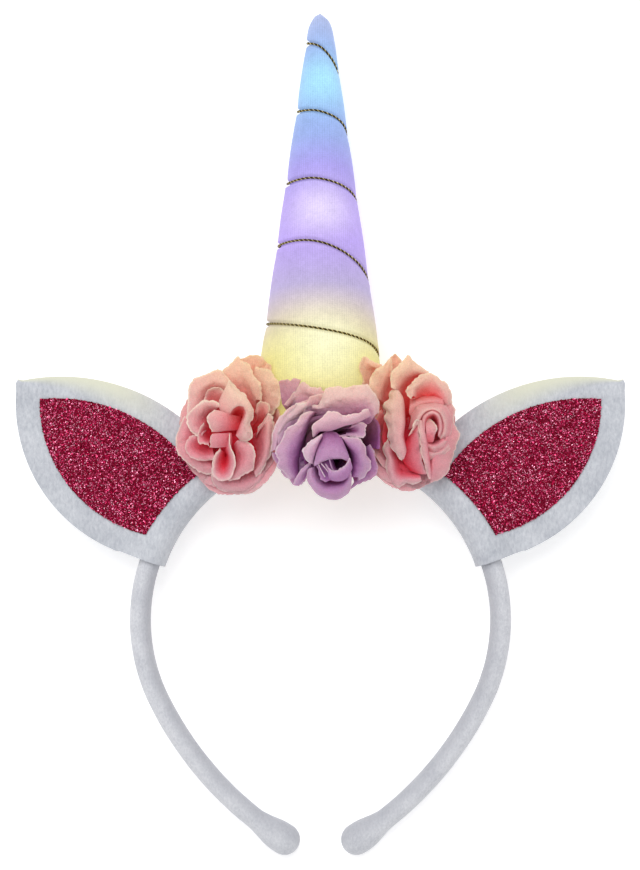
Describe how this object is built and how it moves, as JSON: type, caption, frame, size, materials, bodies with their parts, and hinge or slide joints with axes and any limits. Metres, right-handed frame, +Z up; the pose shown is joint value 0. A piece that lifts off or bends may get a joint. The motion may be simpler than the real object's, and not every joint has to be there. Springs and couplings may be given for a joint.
{
  "type": "unicorn horn headband",
  "caption": "Padded fabric headband with felt ears, a soft lit horn wound with gold cord and a row of fabric roses at its foot, lying on its back.",
  "frame": {"origin": "centre of the bounding box's underside, on the table that it lies on", "axes": "+X to the viewer's right of the picture and the wearer's left, +Y along the table from the hoop's open ends to the horn's tip, +Z up, out of the front of the headband"},
  "size_m": [0.209, 0.2952, 0.0613],
  "materials": {
    "hoop_velvet": "short white velvet, matt",
    "ear_felt": "white felt, matt",
    "ear_glitter": "magenta glitter fabric",
    "horn_fabric": "fine ribbed white satin, lit from inside",
    "gold_cord": "twisted metallic thread",
    "rose_pink": "pressed petal fabric, pink",
    "rose_lilac": "pressed petal fabric, lilac"
  },
  "bodies": {
    "root": {"headband": "hoop_velvet", "ear_left": "ear_felt", "ear_right": "ear_felt", "ear_glitter_left": "ear_glitter", "ear_glitter_right": "ear_glitter", "horn": "horn_fabric", "horn_cord": "gold_cord", "rose_left_outer": "rose_pink", "rose_left_middle": "rose_pink", "rose_left_inner": "rose_pink", "rose_left_heart": "rose_pink", "rose_middle_outer": "rose_lilac", "rose_middle_middle": "rose_lilac", "rose_middle_inner": "rose_lilac", "rose_middle_heart": "rose_lilac", "rose_right_outer": "rose_pink", "rose_right_middle": "rose_pink", "rose_right_inner": "rose_pink", "rose_right_heart": "rose_pink"}
  },
  "joints": []
}
